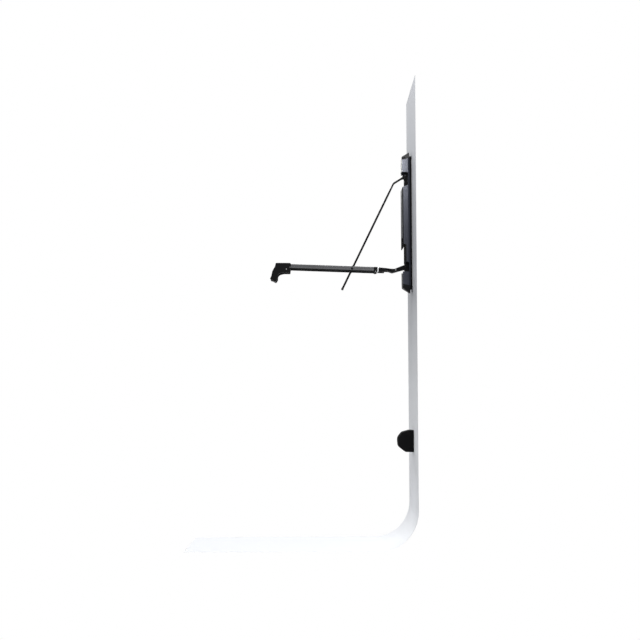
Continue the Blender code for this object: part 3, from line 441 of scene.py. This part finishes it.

# %% [markdown]
# ## Anodised bars
# The two bars are drawn aluminium tube. Drawing leaves hair lines along the length, which the grey
# anodised layer follows. The lines run along Y, so the noise is stretched along Y. Use rubs the
# edges brighter. The inner faces and the lowest few millimetres are painted near black: painted
# shade of the wheel between the bars and along the bars' lower edge. It ends on a line along the
# bar, which falls slightly outwards.

# %% Anodise the bars
BAR_RISE = 0.0396
BAR_PAINTED_SHADE_TOP = -0.23207
BAR_OUTER_SIDE = (0.0408, 0.0414)
ANODISED_TONES = ((0.080, 0.081, 0.084, 1.0), (0.098, 0.099, 0.103, 1.0))
DRAWING_LINES = (0.048, 0.049, 0.052, 1.0)
RUBBED_BAR = (0.26, 0.26, 0.27, 1.0)
PAINTED_SHADE_BLACK = (0.0020, 0.0020, 0.0024, 1.0)


def anodised():
    layer = Finish("grey_anodised", Specular_IOR_Level=0.05)
    lines = layer.noise(1500.0, 3.0, (1.0, 0.02, 1.0))
    cloud = layer.noise(30.0, 2.0, (1.0, 0.3, 1.0))
    rubbed = layer.edges(0.0009) * layer.noise(60.0, 4.0).between(0.42, 0.62)
    base = layer.mix(cloud, *ANODISED_TONES)
    base = layer.mix(lines * 0.5, base, DRAWING_LINES)
    base = layer.mix(rubbed * 0.4, base, RUBBED_BAR)
    # Painted shade: the inner faces and the lowest strip of the outer face turn near black.
    side = layer.node("ShaderNodeMath", {"operation": "ABSOLUTE"}, {0: layer.along("X")})
    over_painted_shade = layer.along("Z") + layer.along("Y") * BAR_RISE - BAR_PAINTED_SHADE_TOP
    outer = side.between(*BAR_OUTER_SIDE) * over_painted_shade.between(0.0, 0.0006)
    base = layer.mix(outer, PAINTED_SHADE_BLACK, base)
    rough = 0.42 + lines * 0.12 + cloud * 0.05 - outer * 0.12
    normal = layer.bump(lines, 0.000015)
    return layer.surface(Base_Color=base, Roughness=rough, Metallic=outer * 0.5, Normal=normal)


grey_bars = anodised()
print("made", grey_bars.name)

# %% [markdown]
# ## Bright turned rings
# The thin rings between yoke and bar, and the washers of the lower hinge, are bare aluminium. They
# come off a lathe or a saw, so their rough lines are finer and brighter than those of the bars.

# %% Turn the bright rings
BRIGHT_TONES = ((0.70, 0.71, 0.72, 1.0), (0.86, 0.87, 0.88, 1.0))


def bright_rings():
    metal = Finish("bright_aluminium", Metallic=1.0)
    lines = metal.noise(2600.0, 2.0, (1.0, 1.0, 0.1))
    base = metal.mix(lines, *BRIGHT_TONES)
    rough = 0.20 + lines * 0.14
    return metal.surface(Base_Color=base, Roughness=rough, Normal=metal.bump(lines, 0.00001))


bright = bright_rings()
print("made", bright.name)

# %% [markdown]
# ## Black nylon mouldings
# Yoke, cradle, plugs and tyre rest are glass-filled nylon. It is matt with a fine grain, its faces
# are faintly streaked by the fibres, and its edges polish slightly in use. A lighter colour along
# those edges is a painted edge highlight.

# %% Mould the nylon parts
NYLON_TONES = ((0.0035, 0.0035, 0.004, 1.0), (0.006, 0.006, 0.0066, 1.0))
NYLON_DUST = (0.09, 0.09, 0.09, 1.0)
NYLON_PAINTED_EDGE_HIGHLIGHT = (0.050, 0.050, 0.053, 1.0)


def nylon():
    moulded = Finish("black_nylon", Metallic=0.0, Specular_IOR_Level=0.06)
    grain = moulded.noise(2600.0, 3.0)
    streak = moulded.noise(120.0, 4.0, (1.0, 0.25, 1.0))
    polish_and_painted_highlight = moulded.edges(0.0014)
    base = moulded.mix(streak, *NYLON_TONES)
    base = moulded.mix(moulded.upward() * 0.10, base, NYLON_DUST)
    # Painted edge highlight: a lighter colour along the edges. The lower roughness there is real
    # polish.
    base = moulded.mix(polish_and_painted_highlight * 0.22, base, NYLON_PAINTED_EDGE_HIGHLIGHT)
    rough = 0.52 + grain * 0.14 - polish_and_painted_highlight * 0.14
    return moulded.surface(Base_Color=base, Roughness=rough, Normal=moulded.bump(grain, 0.00005))


black_nylon = nylon()
print("made", black_nylon.name)

# %% [markdown]
# ## Rubber
# The pads, the sleeve, the edge guards and the cradle's lining are rubber. It is the dullest finish
# here, and it holds pale dust in its grain.

# %% Mould the rubber parts
RUBBER_TONES = ((0.006, 0.006, 0.006, 1.0), (0.010, 0.010, 0.010, 1.0))
PALE_DUST = (0.10, 0.095, 0.088, 1.0)


def rubber():
    soft = Finish("dusty_rubber", Metallic=0.0, Specular_IOR_Level=0.10)
    grain = soft.noise(1900.0, 4.0)
    dust = soft.noise(70.0, 5.0).between(0.52, 0.78)
    base = soft.mix(grain, *RUBBER_TONES)
    base = soft.mix(dust * 0.22, base, PALE_DUST)
    rough = 0.78 + grain * 0.12
    return soft.surface(Base_Color=base, Roughness=rough, Normal=soft.bump(grain, 0.00008))


black_rubber = rubber()
print("made", black_rubber.name)

# %% [markdown]
# ## Dipped coat of the hoop
# The hoop is a bent round bar dipped in a smooth black coat, which is soft on what leans against
# it. A dipped coat is smoother than powder, sags into faint waves along the bar, and is scratched
# near the low end, which is used most.

# %% Dip the hoop
DIP_TONES = ((0.0030, 0.0030, 0.0034, 1.0), (0.0050, 0.0050, 0.0054, 1.0))
SCRATCHED_DIP = (0.11, 0.11, 0.11, 1.0)


def dipped():
    dip = Finish("dipped_black_coat", Metallic=0.0, Specular_IOR_Level=0.10)
    wave = dip.noise(55.0, 2.0)
    low_end = 1 - dip.along("Z").between(-0.30, -0.18)
    scratch = dip.noise(900.0, 3.0, (1.0, 0.12, 0.12)).between(0.60, 0.70) * low_end
    base = dip.mix(wave, *DIP_TONES)
    base = dip.mix(scratch * 0.35, base, SCRATCHED_DIP)
    rough = 0.32 + wave * 0.08 + scratch * 0.2
    return dip.surface(Base_Color=base, Roughness=rough, Normal=dip.bump(wave, 0.0002))


hoop_coat = dipped()
print("made", hoop_coat.name)

# %% [markdown]
# ## Finishes on the CAD nodes
# The record says which material slot each node uses. One dictionary gives every slot its finish,
# and every node takes the finish of its slot. The cover shares the caps' plastic in its own colour.

# %% Give every node its finish
finishes = {
    "housing_satin": satin,
    "cap_plastic": caps,
    "black_steel": powder_steel,
    "bare_steel": zinc_steel,
    "grey_aluminium": grey_bars,
    "bright_aluminium": bright,
    "black_moulding": black_nylon,
    "black_rubber": black_rubber,
    "wire_coat": hoop_coat,
}
for part in frame["record"]["subparts"]:
    mesh = nodes[part["node"]].data
    mesh.materials.clear()
    mesh.materials.append(finishes[part["material_slot"]])
nodes["front_cover"].data.materials[0] = cover

# %% [markdown]
# ## Soft edges
# CAD edges are perfectly sharp and look like paper. Real bent sheet and mouldings have small
# radii that catch a line of light. The imported triangles are first joined and their flat faces
# merged, and then a Bevel modifier rounds each edge. On the pieces with flat sides it takes the
# shallow edges too, because a fold that is only shaded smooth bends the light on a whole flat side.
# The modifiers leave the node's own mesh unchanged.

# %% Join the imported triangles
JOIN_DISTANCE = 0.000002


def joining_nodes():
    """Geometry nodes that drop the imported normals, join split vertices and shade them smooth."""
    group = bpy.data.node_groups.new("join_triangles", "GeometryNodeTree")
    group.interface.new_socket("Geometry", in_out="INPUT", socket_type="NodeSocketGeometry")
    group.interface.new_socket("Geometry", in_out="OUTPUT", socket_type="NodeSocketGeometry")
    start = group.nodes.new("NodeGroupInput")
    forget = group.nodes.new("GeometryNodeRemoveAttribute")
    forget.inputs["Name"].default_value = "custom_normal"
    merge = group.nodes.new("GeometryNodeMergeByDistance")
    merge.inputs["Distance"].default_value = JOIN_DISTANCE
    smooth = group.nodes.new("GeometryNodeSetShadeSmooth")
    finish = group.nodes.new("NodeGroupOutput")
    chain = [start, forget, merge, smooth, finish]
    for before, after in zip(chain, chain[1:]):
        group.links.new(before.outputs[0], after.inputs[0])
    return group


joined = joining_nodes()
print("joining group with", len(joined.nodes), "nodes")

# %% Round the edges
FINE_EDGE = 0.00022
FLAT_WITHIN = 0.4
FOLD_ANGLE = 32.0
SHALLOW_FOLD_ANGLE = 12.0


def round_edges(node, width, angle):
    obj = nodes[node]
    join = obj.modifiers.new("join", "NODES")
    join.node_group = joined
    flat = obj.modifiers.new("flat_faces", "DECIMATE")
    flat.decimate_type = "DISSOLVE"
    flat.angle_limit = math.radians(FLAT_WITHIN)
    bevel = obj.modifiers.new("soft_edges", "BEVEL")
    bevel.width = width
    bevel.segments = 2
    bevel.limit_method = "ANGLE"
    bevel.angle_limit = math.radians(angle)
    bevel.miter_outer = "MITER_ARC"
    even = obj.modifiers.new("even_shading", "WEIGHTED_NORMAL")
    even.weight = 60
    even.keep_sharp = True


edge_widths = {"housing": 0.0005, "top_cap": 0.0007, "bottom_cap": 0.0007, "front_cover": 0.0004}
edge_widths |= {"wheel_cradle": 0.0011, "arm_yoke": 0.0011, "tyre_rest": 0.0006, "spine": 0.0004}
edge_widths |= {"wall_plate": 0.0005, "arm_stop_block": 0.0004, "tyre_rest_pad": 0.0002}
flat_sided = {"housing", "top_cap", "bottom_cap", "front_cover", "wall_plate", "spine"}
made_again = {"wheel_hoop", "hoop_sleeve"}
rounded = [node for node in nodes if node not in made_again]
for node in rounded:
    angle = SHALLOW_FOLD_ANGLE if node in flat_sided else FOLD_ANGLE
    round_edges(node, edge_widths.get(node, FINE_EDGE), angle)
print("rounded", len(rounded), "nodes; widest edge", max(edge_widths.values()) * 1000, "mm")

# %% [markdown]
# ## The hoop as a round bar
# The hoop is one round bar. Both of its ends run side by side from the hinge to the knee, spread
# apart, go down as two straight legs and meet in a rounded U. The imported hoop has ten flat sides
# and few bends, which is enough for its physics but shows in its highlights. A curve object with a
# round bevel stands for it. It follows nearly the same centre line in finer steps, with the knee
# where the photograph has it, a few millimetres further out and up.

# %% Find the centre line of the hoop
HOOP_PIVOT = Vector((0.0, -0.0290, 0.2155))
HOOP_KNEE = Vector((0.0, -0.0817, 0.1830))
HOOP_TIP = Vector((0.0, -0.3198, -0.3037))
HOOP_RADIUS = 0.0040
HOOP_START = 0.0115
HOOP_NECK = 0.0056
HOOP_HALF = 0.0335
HOOP_SPREAD = (0.010, 0.066)
KNEE_BEND = 0.022
KNEE_STEPS = 10
SPREAD_STEPS = 20
TIP_BEND = 0.016
TIP_STEPS = 12

outward = (HOOP_KNEE - HOOP_PIVOT).normalized()
down = (HOOP_TIP - HOOP_KNEE).normalized()
turn = outward.angle(down)
inner = (down - outward * outward.dot(down)).normalized()
neck = Vector((HOOP_NECK, 0.0, 0.0))
bend_from = HOOP_KNEE - outward * KNEE_BEND * math.tan(turn / 2)
right_leg = [HOOP_PIVOT + outward * HOOP_START + neck]
for step in range(KNEE_STEPS + 1):
    angle = turn * step / KNEE_STEPS
    along_bend = outward * math.sin(angle) + inner * (1 - math.cos(angle))
    right_leg.append(bend_from + neck + along_bend * KNEE_BEND)
for step in range(SPREAD_STEPS + 1):
    share = step / SPREAD_STEPS
    point = HOOP_KNEE + down * (HOOP_SPREAD[0] + (HOOP_SPREAD[1] - HOOP_SPREAD[0]) * share)
    point.x = HOOP_NECK + (HOOP_HALF - HOOP_NECK) * share * share * (3 - 2 * share)
    right_leg.append(point)
for step in range(TIP_STEPS + 1):
    angle = math.pi / 2 * step / TIP_STEPS
    point = HOOP_TIP - down * TIP_BEND * (1 - math.sin(angle))
    point.x = HOOP_HALF - TIP_BEND * (1 - math.cos(angle))
    right_leg.append(point)
centre_line = right_leg + [Vector((-p.x, p.y, p.z)) for p in reversed(right_leg)]
length = sum((b - a).length for a, b in zip(centre_line, centre_line[1:]))
print("hoop of", round(length, 3), "m of bar through", len(centre_line), "points")

# %% Bend the hoop
hoop_curve = bpy.data.curves.new("hoop_bar", "CURVE")
hoop_curve.dimensions = "3D"
hoop_curve.bevel_depth = HOOP_RADIUS
hoop_curve.bevel_resolution = 8
hoop_curve.use_fill_caps = True
spline = hoop_curve.splines.new("POLY")
spline.points.add(len(centre_line) - 1)
for target, point in zip(spline.points, centre_line):
    target.co = (*point, 1.0)
hoop_curve.materials.append(hoop_coat)
hoop_bar = bpy.data.objects.new("hoop_bar", hoop_curve)
bpy.context.scene.collection.objects.link(hoop_bar)
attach(hoop_bar, "upper_arm")
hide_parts("wheel_hoop")
print("bent", hoop_bar.name, HOOP_RADIUS * 2000, "mm thick")

# %% [markdown]
# ## Turned pieces
# Two small kinds of piece are turned about an axis along X: the rubber sleeve on the hoop's cross
# piece, which has ribs for grip, and the blued end of the upper axle, where the lathe leaves a low
# rim inside the black head. A profile of radius and X is carried round the axis.

# %% A helper that turns a profile about X
TURNED_SIDES = 32
TURNED_SMOOTH = 50


def turned_piece(name, profile, centre, hollow):
    """The profile's rings as a mesh: a closed tube wall where hollow, else with flat ends."""
    points = []
    for radius, x in profile:
        for side in range(TURNED_SIDES):
            angle = 2.0 * math.pi * side / TURNED_SIDES
            y = centre[0] + radius * math.cos(angle)
            z = centre[1] + radius * math.sin(angle)
            points.append((x, y, z))
    rings = len(profile)
    faces = []
    for ring in range(rings if hollow else rings - 1):
        here, ahead = ring * TURNED_SIDES, (ring + 1) % rings * TURNED_SIDES
        for side in range(TURNED_SIDES):
            beside = (side + 1) % TURNED_SIDES
            faces.append((here + side, here + beside, ahead + beside, ahead + side))
    if not hollow:
        faces.append(tuple(range(TURNED_SIDES)))
        faces.append(tuple(range((rings - 1) * TURNED_SIDES, rings * TURNED_SIDES)))
    return mesh_object(name, points, faces, TURNED_SMOOTH)


print("turned pieces have", TURNED_SIDES, "sides")

# %% Turn the ribbed sleeve
SLEEVE_HALF = 0.0165
SLEEVE_BORE = 0.0042
SLEEVE_LIP = 0.0050
SLEEVE_SKIN = 0.0054
SLEEVE_ROUND = 0.0006
RIBS = 9
RIB_MARGIN = 0.0015
RIB_SHAPE = ((0.10, 0.0051), (0.30, 0.0056), (0.70, 0.0056), (0.90, 0.0051))

lip = [(SLEEVE_BORE, SLEEVE_HALF), (SLEEVE_LIP, SLEEVE_HALF)]
lip.append((SLEEVE_SKIN, SLEEVE_HALF - SLEEVE_ROUND))
sleeve_profile = [(radius, -x) for radius, x in lip]
pitch = 2 * (SLEEVE_HALF - RIB_MARGIN) / RIBS
for rib in range(RIBS):
    first = -SLEEVE_HALF + RIB_MARGIN + rib * pitch
    for share, radius in RIB_SHAPE:
        sleeve_profile.append((radius, first + share * pitch))
sleeve_profile += reversed(lip)
ribbed_sleeve = turned_piece("ribbed_sleeve", sleeve_profile, HOOP_TIP.yz, True)
ribbed_sleeve.data.materials.append(black_rubber)
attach(ribbed_sleeve, "upper_arm")
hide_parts("hoop_sleeve")
print("sleeve with", RIBS, "ribs, pitch", round(pitch * 1000, 2), "mm")

# %% Turn the ends of the upper axle
AXLE_FACE = 0.0317
AXLE_RIM = [(0.0044, 0.0), (0.0044, 0.0005), (0.0040, 0.0009)]
AXLE_RIM += [(0.0033, 0.0009), (0.0029, 0.0006), (0.0010, 0.0006)]

for side, word in ((1, "right"), (-1, "left")):
    rim = [(radius, side * (AXLE_FACE + proud)) for radius, proud in AXLE_RIM]
    axle_end = turned_piece(f"axle_end_{word}", rim, HOOP_PIVOT.yz, False)
    axle_end.data.materials.append(blued_steel)
    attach(axle_end, "wall_side")
print("axle ends stand", max(proud for _, proud in AXLE_RIM) * 1000, "mm proud of the heads")

# %% [markdown]
# ## Edge guards that paint shade
# The bars fold in close behind the sharp front edges of the side walls. In the photograph a dark
# line runs down that edge between the windows, and another down the front edge of the lower window.
# Those lines are shade on the front face and inside the channel; black rubber guards, pushed over
# the sheet, are put there and paint that shade. Each is one U-shaped section carried along Z, with
# its outer corners cut off, open to the back where the sheet goes in.

# %% Push a guard over each bare edge, painting the edge's shade
WALL_OUTSIDE = 0.0520
WALL_INSIDE = 0.0494
GUARD_SKIN = 0.0006
GUARD_DEPTH = 0.0046
GUARD_CORNER = 0.0004
GUARD_CLEARANCE = 0.0001
GUARD_SMOOTH = 30
FRONT_EDGE = {"edge": -0.0445, "low": -0.1190, "high": 0.1565}
WINDOW_EDGE = {"edge": -0.0322, "low": -0.1860, "high": -0.1035}


def shade_painting_guard(name, side, edge, low, high):
    """A black rubber guard over the side wall's edge at Y = edge, from one height to another; it
    paints the edge's shade.
    """
    outside, inside = WALL_OUTSIDE + GUARD_SKIN, WALL_INSIDE - GUARD_SKIN
    nose, back = edge - GUARD_SKIN, edge + GUARD_DEPTH
    seat = edge - GUARD_CLEARANCE
    section = [(outside, back), (outside, nose + GUARD_CORNER), (outside - GUARD_CORNER, nose)]
    section += [(inside + GUARD_CORNER, nose), (inside, nose + GUARD_CORNER), (inside, back)]
    section += [(WALL_INSIDE - GUARD_CLEARANCE, y) for y in (back, seat)]
    section += [(WALL_OUTSIDE + GUARD_CLEARANCE, y) for y in (seat, back)]
    count = len(section)
    points = [(side * x, y, z) for z in (low, high) for x, y in section]
    faces = [(i, (i + 1) % count, count + (i + 1) % count, count + i) for i in range(count)]
    faces += [tuple(range(count)), tuple(range(count, 2 * count))]
    guard = mesh_object(name, points, faces, GUARD_SMOOTH)
    guard.data.materials.append(black_rubber)
    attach(guard, "wall_side")


# The black guards paint the shade of the walls' front edges.
for side, word in ((1, "right"), (-1, "left")):
    shade_painting_guard(f"front_edge_shade_guard_{word}", side, **FRONT_EDGE)
    shade_painting_guard(f"window_edge_shade_guard_{word}", side, **WINDOW_EDGE)
print("four guards of", GUARD_DEPTH * 1000, "mm depth on the edges of the side walls")

# %% [markdown]
# ## Plain stand of the studio
# The sheet behind the rack is matt and pale, with only a hint of tooth so that it doesn't look like
# a hole in the picture. Towards the foot it is painted lighter, as painted light that makes up for
# the lamps' light, which falls less there.
# Its back lets everything through.

# %% Paint the studio sheet
SHEET_TONES = ((0.44, 0.452, 0.480, 1.0), (0.465, 0.477, 0.505, 1.0))
SHEET_FOOT_PAINTED_LIGHT = (0.82, 0.835, 0.86, 1.0)
FOOT_HEIGHTS = (-1.0, -0.1)


def pale_sheet():
    paint = Finish("pale_studio_sheet", Roughness=0.9, Specular_IOR_Level=0.1)
    tooth = paint.noise(3.0, 3.0)
    base = paint.mix(tooth, *SHEET_TONES)
    # Painted light: the colour turns lighter towards the foot, where less lamp light falls.
    foot = 1 - paint.along("Z").between(*FOOT_HEIGHTS)
    base = paint.mix(foot, base, SHEET_FOOT_PAINTED_LIGHT)
    paint.surface(Base_Color=base)
    clear = paint.node("ShaderNodeBsdfTransparent", {}, {})
    back = paint.node("ShaderNodeNewGeometry", {}, {}, "Backfacing")
    matt = Field(paint, paint.shader.outputs[0])
    shown = paint.node("ShaderNodeMixShader", {}, {0: back, 1: matt, 2: clear})
    paint.tree.links.new(shown.socket, paint.end.inputs["Surface"])
    return paint.material


studio_sheet.data.materials.append(pale_sheet())
print("painted", studio_sheet.name)
